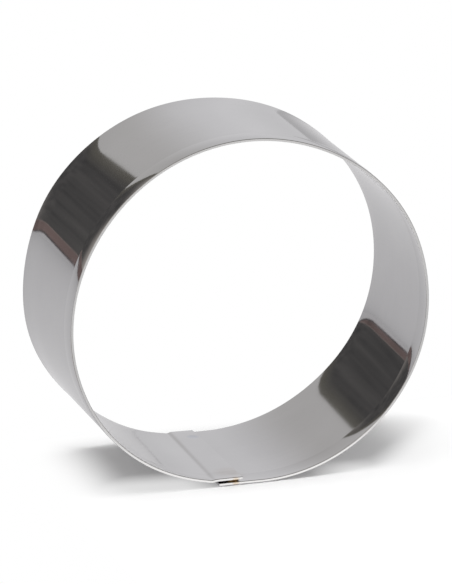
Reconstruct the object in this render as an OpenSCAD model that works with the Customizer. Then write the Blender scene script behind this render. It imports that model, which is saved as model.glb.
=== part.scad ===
// Round biscuit cutter: one strip of polished sheet steel, bent into a ring, lapped and spot welded.
// It stands on its edge like a wheel, on the straight stretch of strip beside the seam.
// +Z is up, Y runs along the ring's axis, and the formed rim faces -Y.
// The origin is at the middle of the bottom, on the surface that the ring stands on.
// The ring is drawn lying down, rim up, and stood on its edge at the end.

/* [Ring] */
// Outside diameter of the ring when it is truly round
ring_d = 80; // [60:1:110]
// How much wider to each side the ring has been pulled
out_of_round = 0.9; // [0.4:0.1:2]
// How much larger the radius of the bottom arcs is than that of the side arcs
bottom_step = 1.5; // [0.5:0.25:2.5]
// Width of the strip, from the cutting edge to the rim
band_w = 35.5; // [20:0.5:60]
// Thickness of the sheet
sheet_t = 0.6; // [0.3:0.05:0.8]

/* [Rim] */
// Height of the shallow bead between the rim and the crease
bead_w = 4.8; // [3:0.1:7]
// Outward lean of the wall in the crease, where the bead starts, in degrees
crease_lean = 5; // [3:0.5:8]
// Inward lean of the wall at the rim, where the bead ends, in degrees
rim_lean = 6; // [3:0.5:8]
// Radius of the bend at the crease, to the middle of the sheet
crease_r = 2; // [1:0.5:4]
// Corner taken off each edge of the sheet
edge_break = 0.08; // [0.02:0.01:0.12]

/* [Seam] */
// How far the two ends of the strip overlap
overlap = 5.3; // [4:0.1:7]
// Distance from the ring's middle to the end that lies inside
inner_end = 1.9; // [0.5:0.1:3]
// How far the straight outer end of the strip reaches past the ring's middle
run_out = 2; // [0.5:0.1:3]
// How much smaller the arc beside the fold is than its opposite one
fold_side_step = 0.6; // [0.3:0.1:0.7]
// How far the strip comes down before the fold, and goes up in it, for each millimetre of strip
fall = 0.28; // [0.28, 0.352]
// How far below the height of the lap the fold starts
fold_dip = 0.1; // [0.1:0.05:0.2]
// Radius of the fold's two bends, on their inside
fold_r = 1; // [1, 1.5]
// How much the inner end closes on the outer one, for each millimetre of strip
lap_fall = 0; // [0, 0.07584]

/* [Spot welds] */
// Diameter of a weld
weld_d = 2.6; // [1.6:0.1:3]
// Gap between the two ends at the middle of a weld
weld_gap = 0.5; // [0.3:0.05:0.6]
// How deep a weld reaches into each sheet
weld_depth = 0.1; // [0.05:0.05:0.15]
// Distance of the welds from the strip's inner end
weld_from_end = 1.5; // [1.5:0.1:2]
// Distance of the front weld from the rim
front_weld_at = 2.2; // [1.7:0.1:2.3]
// Distance of the back weld from the cutting edge
back_weld_at = 5.2; // [3:0.1:10]
// Diameter of the dent that the welding tip leaves
dent_d = 3; // [2:0.1:3]
// Depth of that dent
dent_depth = 0.05; // [0.03:0.01:0.08]

/* [Hidden] */
$fn = 240;
steel = "silver";
tinted_steel = "peru";
crease_steps = 2; // straight pieces that draw the bend of the crease
bead_steps = 6;   // straight pieces that draw the bead
far = 4;          // reach of the cutting shapes, well past both sheets
plan_step = 6;    // degrees of bend between two points of a step's plan
plan_room = 0.15; // how far that plan passes the wall on each side

// A lean is the angle of the wall's line from the axis, positive where it leans outwards.
// A point is [outwards, along the axis]. The outside of the plain wall is at 0.
function along(lean) = [sin(lean), cos(lean)];
function outward(lean) = [cos(lean), -sin(lean)];
function rev(list) = [for (i = [len(list) - 1:-1:0]) list[i]];

// Middle line of the wall: plain, then a tight bend outwards, and the bead's long bend back inwards
mid = sheet_t / 2;
crease_at = [-mid, band_w / 2 - bead_w];
crease_centre = crease_at + [crease_r, 0];
bead_start = crease_centre - crease_r * outward(crease_lean);
bead_run = band_w / 2 - mid * sin(rim_lean) - bead_start[1];
bead_r = bead_run / (sin(crease_lean) + sin(rim_lean));
bead_centre = bead_start - bead_r * outward(crease_lean);
wall = concat(
    [[[-mid, -band_w / 2], 0]],
    [for (i = [0:crease_steps]) let (a = crease_lean * i / crease_steps)
        [crease_centre - crease_r * outward(a), a]],
    [for (i = [1:bead_steps]) let (a = crease_lean - (crease_lean + rim_lean) * i / bead_steps)
        [bead_centre + bead_r * outward(a), a]]);
last = len(wall) - 1;

// One side of the wall, at a distance from its middle line
function side(d) = [for (w = wall) w[0] + d * outward(w[1])];
function broken_end(w, way) = [
    w[0] - way * edge_break * along(w[1]) + mid * outward(w[1]),
    w[0] + (mid - edge_break) * outward(w[1]),
    w[0] - (mid - edge_break) * outward(w[1]),
    w[0] - way * edge_break * along(w[1]) - mid * outward(w[1])];
section = concat(
    rev(broken_end(wall[0], -1)),
    [for (i = [1:last - 1]) side(mid)[i]],
    broken_end(wall[last], 1),
    rev([for (i = [1:last - 1]) side(-mid)[i]]));
rim_out = max([for (p = section) p[0]]);

// The ring's arcs and straights meet in smooth joints. Each arc turns by an angle whose sine and cosine
// are both short decimals, so that the pieces on the two sides of a joint have exactly the same edge.
bottom_a = asin(0.96);
top_a = asin(0.8);
fall_a = asin(fall);
lap_a = asin(lap_fall);

// Arcs of the oval: bottom, side, top, side, and the one that runs towards the fold
half_across = ring_d / 2 + out_of_round;
side_x = run_out + bottom_step * sin(bottom_a);
side_r = half_across - side_x;
bottom_r = side_r + bottom_step;
top_r = side_r + side_x / sin(top_a);
fold_side_r = bottom_r - fold_side_step;

// A place on the strip's outside is [x, y, heading]
function beside(at, d) = [at[0] + d * sin(at[2]), at[1] - d * cos(at[2])];
function bend_centre(at, turn, r) = [at[0], at[1]] + turn * r * [-sin(at[2]), cos(at[2])];
function after(at, step) =
    step[0] == 0
    ? [at[0] + step[1] * cos(at[2]), at[1] + step[1] * sin(at[2]), at[2]]
    : let (c = bend_centre(at, step[0], step[1]), h = at[2] + step[0] * step[2])
        [c[0] + step[0] * step[1] * sin(h), c[1] - step[0] * step[1] * cos(h), h];
function places_along(start, steps) = [
    for (i = 0, at = start; i <= len(steps); at = i < len(steps) ? after(at, steps[i]) : at, i = i + 1) at];
function tenths(v) = round(10 * v) / 10;

// The strip's steps, each [turn, length or radius, degrees]; turn 1 is inwards, -1 outwards, 0 straight
outer_end = [-inner_end - overlap, 0, 0];
outer_run = inner_end + overlap + run_out;
ring_steps = [
    [0, outer_run, 0],
    [1, bottom_r, bottom_a],
    [1, side_r, 180 - bottom_a - top_a],
    [1, top_r, 2 * top_a],
    [1, side_r, 180 - bottom_a - top_a],
    [1, fold_side_r, bottom_a - fall_a]];
fall_start = places_along(outer_end, ring_steps)[len(ring_steps)];
fall_run = tenths((fall_start[1] - sheet_t - weld_gap + fold_dip) / fall);
fold_start = after(fall_start, [0, fall_run, 0]);

// The ramp is as long as the set gap at the welds needs, to a tenth, but never shorter than one
lift_r = fold_r + sheet_t;
weld_x = -inner_end - weld_from_end;
bends_x = 2 * lift_r * fall + fold_r * (fall + lap_fall);
bends_h = fold_r * (cos(lap_a) - cos(fall_a));
lap_h = sheet_t + weld_gap + (weld_x - fold_start[0] - bends_x) * tan(lap_a);
ramp_wanted = (lap_h - fold_start[1] - bends_h) / (fall + cos(fall_a) * tan(lap_a));
ramp = max(0.1, tenths(ramp_wanted));
lap_x = fold_start[0] + bends_x + ramp * cos(fall_a);
lap_run = (-inner_end - lap_x) / cos(lap_a);
steps = concat(ring_steps, [
    [0, fall_run, 0],
    [1, lift_r, 2 * fall_a],
    [0, ramp, 0],
    [-1, fold_r, fall_a + lap_a],
    [0, lap_run, 0]]);
places = places_along(outer_end, steps);
flat_place = places[1];
lap_place = places[len(steps)];

module wall_section() {
    polygon(section);
}

// What lies inside the ring from a depth below the wall's outer face
module inward_from(depth) {
    polygon(concat(side(mid - depth), [[-far, band_w / 2], [-far, -band_w / 2]]));
}

// Turns a section so that it faces along the strip and sets it at a place
module at_place(at) {
    translate([at[0], at[1], 0])
        rotate([0, 0, at[2] - 90])
        rotate([90, 0, 0])
        children();
}

module straight(at, length) {
    at_place(at)
        translate([0, 0, -length])
        linear_extrude(length)
        children();
}

module bent(at, turn, r) {
    c = bend_centre(at, turn, r);
    translate([c[0], c[1], 0])
        rotate_extrude()
        translate([r, 0])
        mirror([turn > 0 ? 0 : 1, 0])
        children();
}

// The stretch of plan that one step of the strip fills; neighbours share the same end points
module step_plan(i) {
    at = places[i];
    kind = steps[i];
    parts = kind[0] == 0 ? 1 : ceil(kind[2] / plan_step);
    stops = [for (k = [0:parts])
        k == parts ? places[i + 1]
        : kind[0] == 0 ? at
        : after(at, [kind[0], kind[1], kind[2] * k / parts])];
    polygon(concat(
        [for (s = stops) beside(s, rim_out + plan_room)],
        rev([for (s = stops) beside(s, -sheet_t - plan_room)])));
}

module strip() {
    for (i = [0:len(steps) - 1])
        intersection() {
            if (steps[i][0] == 0)
                at_place(places[i])
                    translate([0, 0, -steps[i][1] - plan_room])
                    linear_extrude(steps[i][1] + 2 * plan_room)
                    wall_section();
            else
                bent(places[i], steps[i][0], steps[i][1]) wall_section();
            translate([0, 0, -band_w])
                linear_extrude(2 * band_w)
                step_plan(i);
        }
}

// A weld fills the gap between the two sheets and bites into both
module weld(height) {
    intersection() {
        translate([weld_x, 0, height])
            rotate([-90, 0, 0])
            cylinder(h = far, d = weld_d);
        difference() {
            straight(places[0], outer_run) inward_from(sheet_t - weld_depth);
            straight(places[len(steps) - 1], lap_run) inward_from(weld_depth);
        }
    }
}

// Dents that the welding tips leave inside and outside the seam
module dents(height) {
    r = (dent_d * dent_d / 4 + dent_depth * dent_depth) / (2 * dent_depth);
    on_bead = height > bead_start[1];
    lean = on_bead ? asin((bead_centre[1] - height) / bead_r) : 0;
    out = on_bead ? bead_centre[0] + bead_r * cos(lean) : -mid;
    for (d = [[flat_place, weld_x - flat_place[0], 1], [lap_place, -weld_from_end, -1]])
        at_place(d[0])
            translate([out, height, -d[1]])
            rotate([0, 0, -lean])
            translate([d[2] * (mid + r - dent_depth), 0, 0])
            sphere(r);
}

front_height = band_w / 2 - front_weld_at;
back_height = -band_w / 2 + back_weld_at;

module stand_up() {
    translate([0, 0, rim_out])
        rotate([90, 0, 0])
        children();
}

module steel_band() {
    color(steel)
        stand_up()
        difference() {
            strip();
            weld(front_height);
            weld(back_height);
            dents(front_height);
            dents(back_height);
        }
}

module front_weld() {
    color(tinted_steel)
        stand_up()
        weld(front_height);
}

module back_weld() {
    color(tinted_steel)
        stand_up()
        weld(back_height);
}

steel_band();
front_weld();
back_weld();
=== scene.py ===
from math import atan2, ceil, cos, radians, sin, tan

import bmesh
import bpy
from mathutils import Matrix, Vector


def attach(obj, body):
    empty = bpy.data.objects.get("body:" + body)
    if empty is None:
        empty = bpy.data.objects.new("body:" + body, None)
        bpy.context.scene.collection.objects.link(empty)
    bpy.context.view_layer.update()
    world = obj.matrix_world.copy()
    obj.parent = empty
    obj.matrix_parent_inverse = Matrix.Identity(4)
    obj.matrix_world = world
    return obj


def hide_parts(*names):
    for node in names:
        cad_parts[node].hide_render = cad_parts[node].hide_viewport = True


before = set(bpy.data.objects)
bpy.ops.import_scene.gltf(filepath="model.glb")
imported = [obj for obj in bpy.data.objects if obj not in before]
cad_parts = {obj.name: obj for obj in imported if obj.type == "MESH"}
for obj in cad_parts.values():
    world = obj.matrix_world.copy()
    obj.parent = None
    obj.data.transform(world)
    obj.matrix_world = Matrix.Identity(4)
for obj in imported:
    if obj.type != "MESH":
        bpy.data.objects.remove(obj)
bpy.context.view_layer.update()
scene = bpy.context.scene
scene.view_settings.view_transform = "Standard"


# Camera. It looks down at the standing ring from in front and a little to its left, through a long
# lens, so that the formed rim is nearest and the cutting edge lies behind it.
ring_middle = Vector((0, 0, 0.03866))
camera_reach = Vector((-0.3906, -1.1837, 0.3927))
camera = bpy.data.objects.new("camera", bpy.data.cameras.new("camera"))
camera.location = ring_middle + camera_reach
camera.rotation_euler = (radians(90 - 17.5), 0, radians(-18.27))
camera.data.lens = 369.9
camera.data.clip_end = 20
scene.collection.objects.link(camera)
scene.camera = camera


# Table. A matt white table top, lit and, as painted light, painted white over the shadow away from the ring,
# so that it is pure white there and keeps the ring's shadow close to it. The steel sees it painted greyer,
# as painted shade of a table away from the lamp, with a painted glow added.
def node_tree(owner):
    owner.use_nodes = True
    owner.node_tree.nodes.clear()
    return owner.node_tree


def add(tree, kind, inputs={}, **settings):
    node = tree.nodes.new(kind)
    for name, value in settings.items():
        setattr(node, name, value)
    for name, value in inputs.items():
        socket = node.inputs[name]
        if isinstance(value, bpy.types.NodeSocket):
            tree.links.new(value, socket)
        else:
            socket.default_value = value
    return node


def stage_piece(name, corners, material):
    mesh = bpy.data.meshes.new(name)
    shape = bmesh.new()
    shape.faces.new([shape.verts.new(corner) for corner in corners])
    shape.to_mesh(mesh)
    shape.free()
    mesh.materials.append(material)
    piece = bpy.data.objects.new(name, mesh)
    scene.collection.objects.link(piece)
    return piece


table_reach = 3
table_white = bpy.data.materials.new("table_white")
tree = node_tree(table_white)
# Painted shade and light for the steel: glossy rays see the table painted grey and given a painted glow
path = add(tree, "ShaderNodeLightPath")
paint = add(tree, "ShaderNodeMix", {"Factor": path.outputs["Is Glossy Ray"], "A": (0.95, 0.95, 0.95, 1),
                                    "B": (0.26, 0.258, 0.26, 1)}, data_type="RGBA")
matt = add(tree, "ShaderNodeBsdfDiffuse", {"Color": paint.outputs["Result"]})
place = add(tree, "ShaderNodeTexCoord")
apart = add(tree, "ShaderNodeSeparateXYZ", {"Vector": place.outputs["Object"]})
# Painted light: the camera sees painted white over the shadow behind the ring and, softly, on the left, in
# front and on the right
behind = add(tree, "ShaderNodeMapRange", {"Value": apart.outputs["Y"], "From Min": 0.012,
                                          "From Max": 0.025}, interpolation_type="SMOOTHSTEP")
left = add(tree, "ShaderNodeMapRange", {"Value": apart.outputs["X"], "From Min": -0.02, "From Max": -0.043},
           interpolation_type="SMOOTHSTEP")
ahead = add(tree, "ShaderNodeMath", {0: apart.outputs["X"], 1: 0.1, 2: apart.outputs["Y"]},
            operation="MULTIPLY_ADD")
front = add(tree, "ShaderNodeMapRange", {"Value": ahead.outputs[0], "From Min": -0.0035,
                                         "From Max": -0.0145, "To Max": 0.6},
            interpolation_type="SMOOTHSTEP")
aside = add(tree, "ShaderNodeMath", {0: apart.outputs["X"], 1: 0.005}, operation="SUBTRACT")
aside = add(tree, "ShaderNodeMath", {0: aside.outputs[0]}, operation="ABSOLUTE")
beside = add(tree, "ShaderNodeMapRange", {"Value": aside.outputs[0], "From Min": 0.006, "From Max": 0.02},
             interpolation_type="SMOOTHSTEP")
front = add(tree, "ShaderNodeMath", {0: front.outputs[0], 1: beside.outputs[0]}, operation="MULTIPLY")
front = add(tree, "ShaderNodeMath", {0: front.outputs[0], 1: 0.07}, operation="MAXIMUM")
askew = add(tree, "ShaderNodeMath", {0: apart.outputs["X"], 1: apart.outputs["Y"]}, operation="SUBTRACT")
right = add(tree, "ShaderNodeMapRange", {"Value": askew.outputs[0], "From Min": 0.036, "From Max": 0.05,
                                         "To Max": 0.75}, interpolation_type="SMOOTHSTEP")
painted_white_share = add(tree, "ShaderNodeMath", {0: left.outputs[0], 1: front.outputs[0]}, operation="MAXIMUM")
painted_white_share = add(tree, "ShaderNodeMath", {0: painted_white_share.outputs[0], 1: right.outputs[0]}, operation="MAXIMUM")
painted_white_share = add(tree, "ShaderNodeMath", {0: painted_white_share.outputs[0], 1: behind.outputs[0]}, operation="MAXIMUM")
painted_white_for_camera = add(tree, "ShaderNodeMath", {0: painted_white_share.outputs[0], 1: path.outputs["Is Camera Ray"]},
               operation="MULTIPLY")
painted_glow_strength = add(tree, "ShaderNodeMath", {0: path.outputs["Is Glossy Ray"], 1: 0.375}, operation="MULTIPLY")
glow = add(tree, "ShaderNodeEmission", {"Color": (0.99, 0.98, 1, 1), "Strength": painted_glow_strength.outputs[0]})
both = add(tree, "ShaderNodeAddShader", {0: matt.outputs[0], 1: glow.outputs[0]})
# Painted light: the white that covers the shadow where the masks reach
white = add(tree, "ShaderNodeEmission", {"Color": (1, 1, 1, 1), "Strength": 1})
top = add(tree, "ShaderNodeMixShader", {0: painted_white_for_camera.outputs[0], 1: both.outputs[0],
                                        2: white.outputs[0]})
add(tree, "ShaderNodeOutputMaterial", {"Surface": top.outputs[0]})
stage_piece("table", [(-table_reach, -table_reach, 0), (table_reach, -table_reach, 0),
                      (table_reach, table_reach, 0), (-table_reach, table_reach, 0)], table_white)


# Room. White for the camera. The steel sees a room that is light near the horizon, darkens upwards and
# is dark and brownish on the camera's side. A soft lamp hangs over the ring.
room = bpy.data.worlds.new("room")
scene.world = room
tree = node_tree(room)
path = add(tree, "ShaderNodeLightPath")
way = add(tree, "ShaderNodeTexCoord")
apart = add(tree, "ShaderNodeSeparateXYZ", {"Vector": way.outputs["Generated"]})
side = add(tree, "ShaderNodeMapRange", {"Value": apart.outputs["X"], "From Min": -0.08, "From Max": 0.3},
           interpolation_type="SMOOTHSTEP")
height = add(tree, "ShaderNodeMapRange", {"Value": apart.outputs["Z"], "From Min": 0.5, "From Max": 0.75},
             interpolation_type="SMOOTHSTEP")
low = add(tree, "ShaderNodeMapRange", {"Value": apart.outputs["Z"], "From Min": 0.0, "From Max": 0.22,
                                       "To Min": 0.84, "To Max": 1.0}, interpolation_type="SMOOTHSTEP")
front = add(tree, "ShaderNodeMapRange", {"Value": apart.outputs["Y"], "From Min": 0.5, "From Max": -0.1},
            interpolation_type="SMOOTHSTEP")
back_wall = add(tree, "ShaderNodeMix", {"Factor": side.outputs[0], "A": (0.66, 0.65, 0.64, 1),
                                        "B": (0.87, 0.865, 0.88, 1)}, data_type="RGBA")
walls = add(tree, "ShaderNodeMix", {"Factor": height.outputs[0], "A": back_wall.outputs["Result"],
                                    "B": (0.31, 0.30, 0.28, 1)}, data_type="RGBA")
side_front = add(tree, "ShaderNodeMapRange", {"Value": apart.outputs["X"], "From Min": -0.35,
                                              "From Max": 0.35}, interpolation_type="SMOOTHSTEP")
front_walls = add(tree, "ShaderNodeMix", {"Factor": side_front.outputs[0], "A": (1.4, 1.36, 1.29, 1),
                                          "B": (0.42, 0.40, 0.37, 1)}, data_type="RGBA")
dim_front = add(tree, "ShaderNodeMix", {"Factor": front.outputs[0], "A": (1, 1, 1, 1),
                                        "B": front_walls.outputs["Result"]}, data_type="RGBA")
all_walls = add(tree, "ShaderNodeMix", {"Factor": 1, "A": walls.outputs["Result"],
                                        "B": dim_front.outputs["Result"]}, data_type="RGBA",
                blend_type="MULTIPLY")
for_steel = add(tree, "ShaderNodeBackground", {"Color": all_walls.outputs["Result"],
                                               "Strength": low.outputs[0]})
for_matt = add(tree, "ShaderNodeBackground", {"Color": (1, 1, 1, 1), "Strength": 0.5})
for_camera = add(tree, "ShaderNodeBackground", {"Color": (1, 1, 1, 1), "Strength": 1})
steel_or_matt = add(tree, "ShaderNodeMixShader", {0: path.outputs["Is Glossy Ray"],
                                                  1: for_matt.outputs[0], 2: for_steel.outputs[0]})
any_ray = add(tree, "ShaderNodeMixShader", {0: path.outputs["Is Camera Ray"],
                                            1: steel_or_matt.outputs[0], 2: for_camera.outputs[0]})
add(tree, "ShaderNodeOutputWorld", {"Surface": any_ray.outputs[0]})

lamp = bpy.data.objects.new("lamp", bpy.data.lights.new("lamp", "AREA"))
lamp.data.shape = "SQUARE"
lamp.data.size = 0.6
lamp.data.energy = 8
lamp.location = (-0.12, -0.05, 0.85)
lamp.rotation_euler = (-lamp.location).to_track_quat("-Z", "Y").to_euler()
lamp.visible_glossy = False
scene.collection.objects.link(lamp)


# Cards round the table, which only the polished steel sees: a dark wooden screen behind the ring on the
# left, which stands on a brown base board, a bright sheet in front that lights the cut edges, and a
# brown one on the table to the left.
def card(name, corners, material):
    piece = stage_piece(name, corners, material)
    piece.visible_camera = False
    piece.visible_diffuse = False
    piece.visible_shadow = False
    return piece


def glowing(name, colour, strength=1.0):
    paper = bpy.data.materials.new(name)
    tree = node_tree(paper)
    glow = add(tree, "ShaderNodeEmission", {"Color": (*colour, 1), "Strength": strength})
    add(tree, "ShaderNodeOutputMaterial", {"Surface": glow.outputs[0]})
    return paper


screen_y = 0.88
screen_right = -0.204
screen_left = -1.1
screen_top = 0.9
dark_wood = bpy.data.materials.new("dark_wood")
tree = node_tree(dark_wood)
place = add(tree, "ShaderNodeTexCoord")
apart = add(tree, "ShaderNodeSeparateXYZ", {"Vector": place.outputs["Object"]})
grain = add(tree, "ShaderNodeTexNoise", {"Vector": place.outputs["Object"], "Scale": 28, "Detail": 4,
                                         "Roughness": 0.6})
streaks = add(tree, "ShaderNodeMapRange", {"Value": grain.outputs[0], "From Min": 0.3, "From Max": 0.7})
wood = add(tree, "ShaderNodeMix", {"Factor": streaks.outputs[0], "A": (0.062, 0.061, 0.062, 1),
                                   "B": (0.125, 0.12, 0.117, 1)}, data_type="RGBA")
far_end = add(tree, "ShaderNodeMapRange", {"Value": apart.outputs["X"], "From Min": -0.42,
                                           "From Max": -0.62}, interpolation_type="SMOOTHSTEP")
upper = add(tree, "ShaderNodeMapRange", {"Value": apart.outputs["Z"], "From Min": 0.4, "From Max": 0.66},
            interpolation_type="SMOOTHSTEP")
pale = add(tree, "ShaderNodeMath", {0: far_end.outputs[0], 1: upper.outputs[0]}, operation="ADD",
           use_clamp=True)
paler = add(tree, "ShaderNodeMix", {"Factor": pale.outputs[0], "A": wood.outputs["Result"],
                                    "B": (0.46, 0.43, 0.4, 1)}, data_type="RGBA")
near_edge = add(tree, "ShaderNodeMapRange", {"Value": apart.outputs["X"], "From Min": screen_right - 0.078,
                                             "From Max": screen_right}, interpolation_type="SMOOTHSTEP")
browner = add(tree, "ShaderNodeMix", {"Factor": near_edge.outputs[0], "A": paler.outputs["Result"],
                                      "B": (0.15, 0.142, 0.122, 1)}, data_type="RGBA")
glow = add(tree, "ShaderNodeEmission", {"Color": browner.outputs["Result"]})
add(tree, "ShaderNodeOutputMaterial", {"Surface": glow.outputs[0]})
brown_board = bpy.data.materials.new("brown_board")
tree = node_tree(brown_board)
place = add(tree, "ShaderNodeTexCoord")
stretched = add(tree, "ShaderNodeVectorMath", {0: place.outputs["Object"], 1: (1, 1, 0.15)},
                operation="MULTIPLY")
blotches = add(tree, "ShaderNodeTexNoise", {"Vector": stretched.outputs[0], "Scale": 75, "Detail": 2})
browns = add(tree, "ShaderNodeMapRange", {"Value": blotches.outputs[0], "From Min": 0.35, "From Max": 0.65})
wood = add(tree, "ShaderNodeMix", {"Factor": browns.outputs[0], "A": (0.13, 0.1, 0.095, 1),
                                   "B": (0.25, 0.185, 0.175, 1)}, data_type="RGBA")
glow = add(tree, "ShaderNodeEmission", {"Color": wood.outputs["Result"]})
add(tree, "ShaderNodeOutputMaterial", {"Surface": glow.outputs[0]})


def strip_card(name, nearer, lower, upper, material):
    """A card from one sloping line to another, each given by its heights at the left and the right."""
    y = screen_y - nearer
    card(name, [(screen_left, y, lower[0]), (screen_right, y, lower[1]), (screen_right, y, upper[1]),
                (screen_left, y, upper[0])], material)


base = (-0.2, 0)
foot = (-0.195, 0.075)
top = (0.103, 0.044)
highlight_h = 0.0015
foot_shadow_h = 0.009
strip_card("screen", 0, top, (screen_top, screen_top), dark_wood)
strip_card("base_board", 0.001, base, top, brown_board)
# Painted highlight: a light glowing line along the top of the base board
strip_card("board_edge_highlight", 0.0015, [high - highlight_h for high in top], [high + highlight_h for high in top],
           glowing("board_edge_highlight", (0.3, 0.25, 0.23)))
# Painted shade: a dark glowing strip along the foot of the base board
strip_card("board_foot_shadow", 0.003, foot, [high + foot_shadow_h for high in foot], glowing("gap", (0.08, 0.07, 0.07)))
strip_card("table_end", 0.002, base, foot, glowing("table_grey", (0.62, 0.61, 0.62)))
sheet_white = bpy.data.materials.new("sheet_white")
tree = node_tree(sheet_white)
place = add(tree, "ShaderNodeTexCoord")
apart = add(tree, "ShaderNodeSeparateXYZ", {"Vector": place.outputs["Object"]})
close_by = add(tree, "ShaderNodeMapRange", {"Value": apart.outputs["Y"], "From Min": -0.09,
                                            "From Max": -0.03, "To Min": 1.04, "To Max": 1.75},
               interpolation_type="SMOOTHSTEP")
far_off = add(tree, "ShaderNodeMapRange", {"Value": apart.outputs["Y"], "From Min": -0.17,
                                           "From Max": -0.24, "To Max": 0.45},
              interpolation_type="SMOOTHSTEP")
on_left = add(tree, "ShaderNodeMapRange", {"Value": apart.outputs["X"], "From Min": 0.1, "From Max": 0.07})
far_off = add(tree, "ShaderNodeMath", {0: far_off.outputs[0], 1: on_left.outputs[0]},
              operation="MULTIPLY")
bright = add(tree, "ShaderNodeMath", {0: close_by.outputs[0], 1: far_off.outputs[0]})
glow = add(tree, "ShaderNodeEmission", {"Color": (1, 0.995, 0.98, 1), "Strength": bright.outputs[0]})
add(tree, "ShaderNodeOutputMaterial", {"Surface": glow.outputs[0]})


def lying_card(name, left, right, nearest, farthest, height, material):
    """A card that lies on the table, between a left and a right side, and a nearest and a farthest one."""
    card(name, [(left, nearest, height), (right, nearest, height), (right, farthest, height),
                (left, farthest, height)], material)


lying_card("front_sheet", -0.042, 0.14, -0.32, -0.0179, 0.00004, sheet_white)
lying_card("left_sheet", -0.5, -0.065, -0.1, 0.02, 0.0005, glowing("sheet_brown", (0.5, 0.46, 0.43)))


# Steel band. One strip of 0.6 mm stainless sheet, polished on both sides and rolled into a
# ring. A shallow bead runs along the rim from a crease to the edge, and the strip's inner end is folded
# up to lap over the outer one. The far edge, which cuts, flares a little.
mm = 0.001
sheet_t = 0.6 * mm
half = sheet_t / 2
band_w = 35.5 * mm
rim_out = 0.098 * mm
inner_end = 1.9 * mm
overlap = 5.3 * mm
run_out = 2 * mm


def walk(shape, front, place, way, axis, steps):
    """Draws a wire or a sheet onward from its front, by straight runs and by bends round an axis."""
    for turn, size, angle, parts in steps:
        if turn == 0:
            for _ in range(parts):
                verts = [part for part in front if isinstance(part, bmesh.types.BMVert)]
                edges = [part for part in front if isinstance(part, bmesh.types.BMEdge)]
                if edges:
                    grown = bmesh.ops.extrude_edge_only(shape, edges=edges)["geom"]
                else:
                    grown = bmesh.ops.extrude_vert_indiv(shape, verts=verts)["verts"]
                new = [part for part in grown if isinstance(part, bmesh.types.BMVert)]
                bmesh.ops.translate(shape, verts=new, vec=way * size / parts)
                fresh = set(new)
                front = new + [part for part in grown if edges and isinstance(part, bmesh.types.BMEdge)
                               and set(part.verts) <= fresh]
            place = place + way * size
        else:
            centre = place + axis.cross(way) * size * turn
            swing = Matrix.Rotation(radians(angle) * turn, 3, axis)
            front = bmesh.ops.spin(shape, geom=front, cent=centre, axis=axis * turn, angle=radians(angle),
                                   steps=parts)["geom_last"]
            place = centre + swing @ (place - centre)
            way = swing @ way
    return front, place, way


# The strip's way round: the flat and five arcs of an oval. The last stretch comes down straight.
bottom_a, top_a, fall_a = 73.7398, 53.1301, 12.26
bottom_r, side_r, top_r, fold_side_r = 38.96 * mm, 37.46 * mm, 41.76 * mm, 38.36 * mm
last_run, last_parts = 9.04 * mm, 30
degrees_per_part = 1.25


def arc(radius, angle, fineness=degrees_per_part):
    return (1, radius - half, angle, ceil(angle / fineness))


strip_steps = [
    (0, inner_end + overlap + run_out, 0, 21),
    arc(bottom_r, bottom_a),
    arc(side_r, 180 - bottom_a - top_a),
    arc(top_r, 2 * top_a),
    arc(side_r, 180 - bottom_a - top_a),
    arc(fold_side_r, bottom_a - fall_a),
]

# The wall's way from the far edge to the rim: the flare, the plain wall, a faint groove, the crease and
# the bead, which leans outwards at first and inwards at the rim
flares = [(80 * mm, 1.2, 4), (140 * mm, 0.9, 4), (300 * mm, 0.6, 4)]
flare_a = sum(angle for radius, angle, parts in flares)
flare_run, flare_out, lean = 0, 0, flare_a
for radius, angle, parts in flares:
    flare_run += radius * (sin(radians(lean)) - sin(radians(lean - angle)))
    flare_out += radius * (cos(radians(lean - angle)) - cos(radians(lean)))
    lean -= angle
bead_w = 4.9 * mm
groove_r, groove_a = 20 * mm, 0.6
crease_r, crease_a = 2 * mm, 3
rise_r = 42 * mm
close_r, close_a = 33 * mm, 4.5
wall_run = band_w - flare_run - bead_w - groove_r * sin(radians(groove_a))
section_steps = [(-1, radius, angle, parts) for radius, angle, parts in flares] + [
    (0, wall_run, 0, 46),
    (1, groove_r, groove_a, 2),
    (-1, crease_r, groove_a + crease_a, 5),
    (1, rise_r, crease_a, 5),
    (1, close_r, close_a, 8),
]

# The ring isn't a true oval: slow waves of a few tenths of a millimetre run round both of its edges,
# each given as the number of waves, their height in millimetres and the angle of their crest
ring_centre_z = 38.698 * mm
off_table = 0.02 * mm
near_waves = [(0, -0.015, 0), (1, 0.17, 50), (2, 0.117, 12), (3, 0.173, 193), (4, 0.11, 149),
              (5, 0.023, 307), (6, 0.036, 66), (7, 0.028, 123)]
far_waves = [(0, -0.038, 0), (1, 0.227, 22), (2, 0.121, 222), (3, 0.205, 263), (4, 0.025, 155),
             (5, 0.106, 336), (6, 0.072, 284), (7, 0.053, 217), (8, 0.057, 160)]


def bend_by_hand(shape):
    for vert in shape.verts:
        out = Vector((vert.co.x, 0, vert.co.z - ring_centre_z)).normalized()
        angle = atan2(out.x, -out.z)
        near, far = (sum(high * cos(count * angle - radians(crest)) for count, high, crest in waves)
                     for waves in (near_waves, far_waves))
        share = 0.5 - vert.co.y / band_w
        vert.co += out * (near * share + far * (1 - share)) * mm
        vert.co.z = max(vert.co.z, half + off_table)


# The inner end is folded up and lies on the outer one, closer at the far edge than at the rim. The fold
# runs a little askew across the strip, and the welds have drawn a dent into it.
fold_x, fold_askew, fold_run = -8 * mm, 1.1 * mm, 1.3 * mm
lap_height, lap_opening, lap_fall = 0.62 * mm, 0.45 * mm, 0.06
dent_depth, dent_r = 0.07 * mm, 1.5 * mm
front_weld = (-3.4 * mm, -15.55 * mm)
back_weld = (-3.4 * mm, 12.55 * mm)


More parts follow.
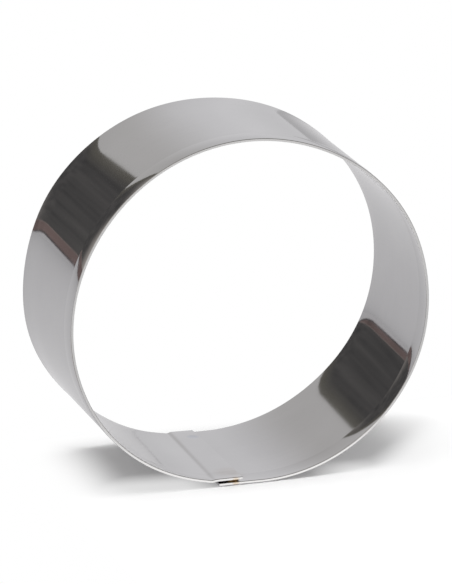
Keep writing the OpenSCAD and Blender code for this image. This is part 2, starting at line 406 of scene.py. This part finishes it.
def lift_lap(verts):
    for vert in verts:
        share = 0.5 - vert.co.y / band_w
        climb = min(max((vert.co.x - fold_x + fold_askew * share) / fold_run, 0), 1)
        climb = climb * climb * (3 - 2 * climb)
        falling = lap_start.z - (vert.co.x - lap_start.x) * tan(radians(fall_a)) - half
        lying = rim_out + lap_height + lap_opening * share - lap_fall * (1 - share) * (vert.co.x + inner_end)
        vert.co.z += climb * (lying - falling)
        for weld in (front_weld, back_weld):
            off = Vector((vert.co.x - weld[0], vert.co.y - weld[1])).length
            vert.co.z -= dent_depth * max(0, 1 - (off / dent_r) ** 2) ** 2


band = bpy.data.objects.new("band", bpy.data.meshes.new("band"))
scene.collection.objects.link(band)
shape = bmesh.new()
outer_end = Vector((-inner_end - overlap, 0, rim_out))
far_edge = outer_end + Vector((0, band_w / 2, half - flare_out))
flare_tilt = Matrix.Rotation(radians(-flare_a), 3, "X")
first = shape.verts.new(far_edge)
walk(shape, [first], far_edge, flare_tilt @ Vector((0, -1, 0)), Vector((-1, 0, 0)), section_steps)
shape.verts.ensure_lookup_table()
front, place, way = walk(shape, shape.verts[:] + shape.edges[:], outer_end + Vector((0, 0, half)),
                         Vector((1, 0, 0)), Vector((0, -1, 0)), strip_steps)
drawn = set(shape.verts)
lap_start = place
walk(shape, front, place, way, Vector((0, -1, 0)), [(0, last_run, 0, last_parts)])
lift_lap([vert for vert in shape.verts if vert not in drawn])
bend_by_hand(shape)
bmesh.ops.recalc_face_normals(shape, faces=shape.faces)
for face in shape.faces:
    face.smooth = True
shape.to_mesh(band.data)
shape.free()

wall = band.modifiers.new("wall", "SOLIDIFY")
wall.thickness = sheet_t
wall.offset = 0
wall.use_even_offset = True
edges = band.modifiers.new("broken_edges", "BEVEL")
edges.width = 0.13 * mm
edges.segments = 4
edges.limit_method = "ANGLE"
edges.angle_limit = radians(50)
edges.harden_normals = True

# Polished steel. A mirror finish with the faint grain of the rolled sheet along the strip, wiping marks,
# a duller cut edge, and the brown and golden tint that the welding left at the seam.
steel = bpy.data.materials.new("polished_steel")
tree = node_tree(steel)
place = add(tree, "ShaderNodeTexCoord")
apart = add(tree, "ShaderNodeSeparateXYZ", {"Vector": place.outputs["Object"]})
down = add(tree, "ShaderNodeMath", {0: ring_centre_z, 1: apart.outputs["Z"]}, operation="SUBTRACT")
round_angle = add(tree, "ShaderNodeMath", {0: apart.outputs["X"], 1: down.outputs[0]}, operation="ARCTAN2")
along = add(tree, "ShaderNodeMath", {0: round_angle.outputs[0], 1: 1.6}, operation="MULTIPLY")
across = add(tree, "ShaderNodeMath", {0: apart.outputs["Y"], 1: 2600}, operation="MULTIPLY")
strip_place = add(tree, "ShaderNodeCombineXYZ", {"X": along.outputs[0], "Y": across.outputs[0]})
grain = add(tree, "ShaderNodeTexNoise", {"Vector": strip_place.outputs[0], "Scale": 1, "Detail": 3})
wiped = add(tree, "ShaderNodeTexNoise", {"Vector": place.outputs["Object"], "Scale": 60, "Detail": 3,
                                         "Distortion": 0.6})
grain_tone = add(tree, "ShaderNodeMapRange", {"Value": grain.outputs[0], "To Min": 0.97, "To Max": 1.03})
wiped_tone = add(tree, "ShaderNodeMapRange", {"Value": wiped.outputs[0], "From Min": 0.3, "From Max": 0.7,
                                              "To Min": 0.975, "To Max": 1.025})
tone = add(tree, "ShaderNodeMath", {0: grain_tone.outputs[0], 1: wiped_tone.outputs[0]},
           operation="MULTIPLY")
metal = add(tree, "ShaderNodeVectorMath", {0: (0.5, 0.495, 0.5), "Scale": tone.outputs[0]},
            operation="SCALE")
low = add(tree, "ShaderNodeMapRange", {"Value": apart.outputs["Z"], "From Min": 0.004, "From Max": 0.003})
colour = metal.outputs[0]
# Each tint of the heat by its place and its radius in millimetres, its colour and its strength
heat_tints = [
    (-3.4, -17.6, 1.2, (0.42, 0.3, 0.17), 0.55),
    (-3.6, -13.5, 4.2, (0.42, 0.38, 0.35), 0.3),
    (-3.4, 12.55, 1.8, (0.4, 0.42, 0.47), 0.6),
    (-5.45, -10.75, 0.35, (0.2, 0.19, 0.19), 0.7),
]
for x, y, wide, tint, strong in heat_tints:
    from_spot = add(tree, "ShaderNodeVectorMath", {0: place.outputs["Object"], 1: (x * mm, y * mm, 0.001)},
                    operation="DISTANCE")
    spot = add(tree, "ShaderNodeMapRange", {"Value": from_spot.outputs["Value"], "From Min": wide * mm,
                                            "From Max": wide * 0.4 * mm, "To Max": strong},
               interpolation_type="SMOOTHSTEP")
    here = add(tree, "ShaderNodeMath", {0: spot.outputs[0], 1: low.outputs[0]}, operation="MULTIPLY")
    tinted = add(tree, "ShaderNodeMix", {"Factor": here.outputs[0], "A": colour, "B": (*tint, 1)},
                 data_type="RGBA")
    colour = tinted.outputs["Result"]
rough = add(tree, "ShaderNodeMapRange", {"Value": wiped.outputs[0], "From Min": 0.3, "From Max": 0.7,
                                         "To Min": 0.045, "To Max": 0.075})
from_middle = add(tree, "ShaderNodeMath", {0: apart.outputs["Y"]}, operation="ABSOLUTE")
cut = add(tree, "ShaderNodeMapRange", {"Value": from_middle.outputs[0], "From Min": band_w / 2 - 0.08 * mm,
                                       "From Max": band_w / 2 - 0.05 * mm, "To Max": 0.12})
all_rough = add(tree, "ShaderNodeMath", {0: rough.outputs[0], 1: cut.outputs[0]})
finish = add(tree, "ShaderNodeBsdfPrincipled", {"Base Color": colour, "Metallic": 1,
                                                "Roughness": all_rough.outputs[0]})
add(tree, "ShaderNodeOutputMaterial", {"Surface": finish.outputs[0]})
band.data.materials.append(steel)
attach(band, "root")
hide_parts("steel_band")


# Spot welds. Two beads of melted steel that fill the gap between the strip's two ends, brown and golden
# from the heat, one behind the rim and one near the cutting edge. Each is narrowest at half its height.
burnt = bpy.data.materials.new("burnt_weld")
tree = node_tree(burnt)
place = add(tree, "ShaderNodeTexCoord")
cloud = add(tree, "ShaderNodeTexNoise", {"Vector": place.outputs["Object"], "Scale": 900, "Detail": 3})
heat = add(tree, "ShaderNodeValToRGB", {"Fac": cloud.outputs[0]})
heat.color_ramp.elements[0].position, heat.color_ramp.elements[0].color = 0.35, (0.12, 0.05, 0.02, 1)
heat.color_ramp.elements[1].position, heat.color_ramp.elements[1].color = 0.65, (0.75, 0.5, 0.2, 1)
pits = add(tree, "ShaderNodeBump", {"Height": cloud.outputs[0], "Strength": 0.4, "Distance": 0.00005})
finish = add(tree, "ShaderNodeBsdfPrincipled", {"Base Color": heat.outputs[0], "Metallic": 0.7,
                                                "Roughness": 0.4, "Normal": pits.outputs[0]})
add(tree, "ShaderNodeOutputMaterial", {"Surface": finish.outputs[0]})

for name, spot, foot, gap in (("front_weld", front_weld, 0.68 * mm, 0.5 * mm),
                              ("back_weld", back_weld, 0.66 * mm, 0.22 * mm)):
    bead = bpy.data.objects.new(name + "_bead", bpy.data.meshes.new(name + "_bead"))
    scene.collection.objects.link(bead)
    shape = bmesh.new()
    middle = Vector((*spot, foot))
    rim = [shape.verts.new(middle + Vector((away * mm, 0, gap * up)))
           for away, up in ((0, 0), (1.3, 0), (1.15, 0.25), (1.1, 0.5), (1.15, 0.75), (1.3, 1), (0, 1))]
    line = [shape.edges.new(pair) for pair in zip(rim, rim[1:])]
    bmesh.ops.spin(shape, geom=rim + line, cent=middle, axis=(0, 0, 1), angle=radians(360), steps=48)
    bmesh.ops.remove_doubles(shape, verts=shape.verts[:], dist=0.001 * mm)
    bend_by_hand(shape)
    bmesh.ops.recalc_face_normals(shape, faces=shape.faces)
    for face in shape.faces:
        face.smooth = True
    shape.to_mesh(bead.data)
    shape.free()
    bead.data.materials.append(burnt)
    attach(bead, "root")
    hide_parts(name)
